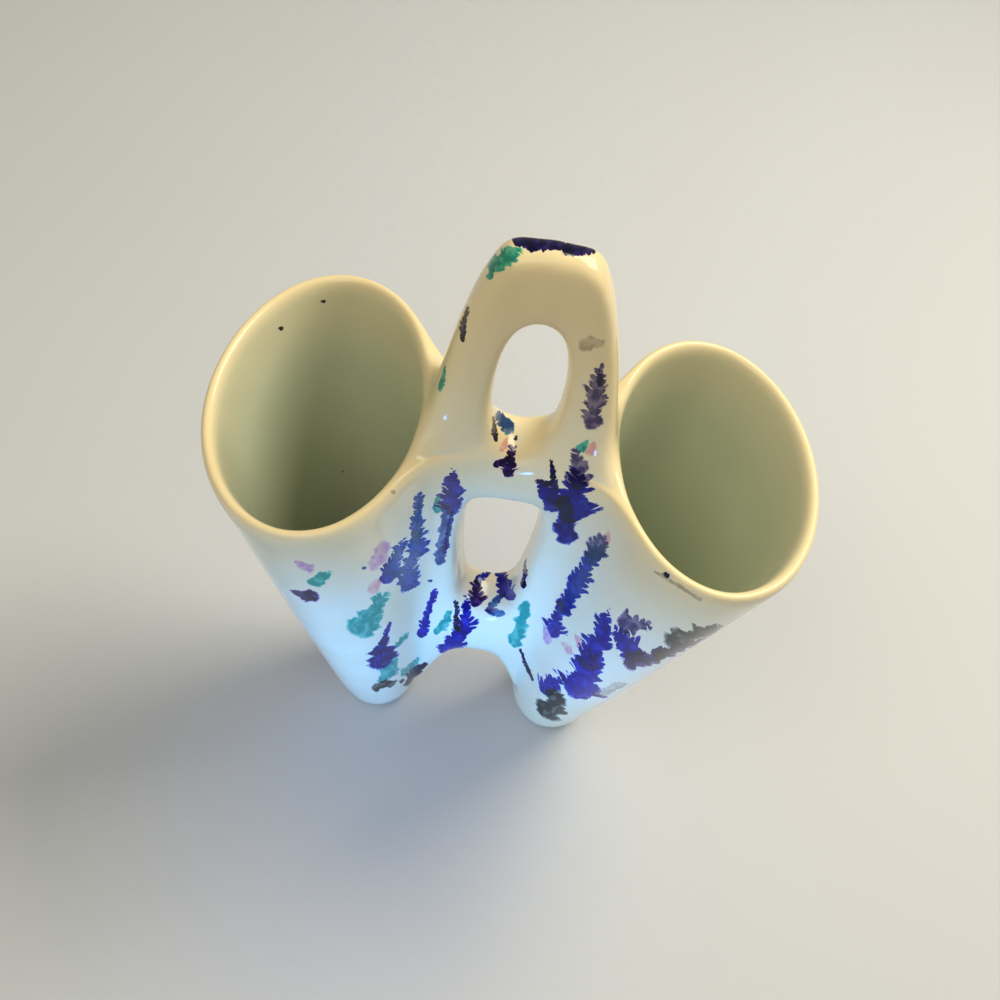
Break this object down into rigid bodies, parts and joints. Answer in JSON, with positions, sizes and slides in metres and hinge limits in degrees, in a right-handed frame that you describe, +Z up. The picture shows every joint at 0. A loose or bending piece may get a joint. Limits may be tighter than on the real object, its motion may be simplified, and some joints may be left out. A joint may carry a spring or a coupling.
{
  "type": "wedding vase",
  "caption": "Double vase of two oval cups splayed in a V, joined by a pierced web and crowned with a loop handle.",
  "frame": {"origin": "on the table, midway between the two feet and midway front to back", "axes": "+Z up from the feet to the handle, +X from the left cup to the right cup, +Y from the front to the back"},
  "size_m": [0.1794, 0.095, 0.221],
  "materials": {
    "cup_glaze": "glossy cream-white glaze with cobalt, teal and lilac feathered blots",
    "web_glaze": "glossy cream-white glaze with cobalt, teal and lilac feathered blots"
  },
  "bodies": {
    "root": {"left_cup": "cup_glaze", "right_cup": "cup_glaze", "lower_bridge": "web_glaze", "upper_bridge": "web_glaze", "loop_handle": "web_glaze"}
  },
  "joints": []
}
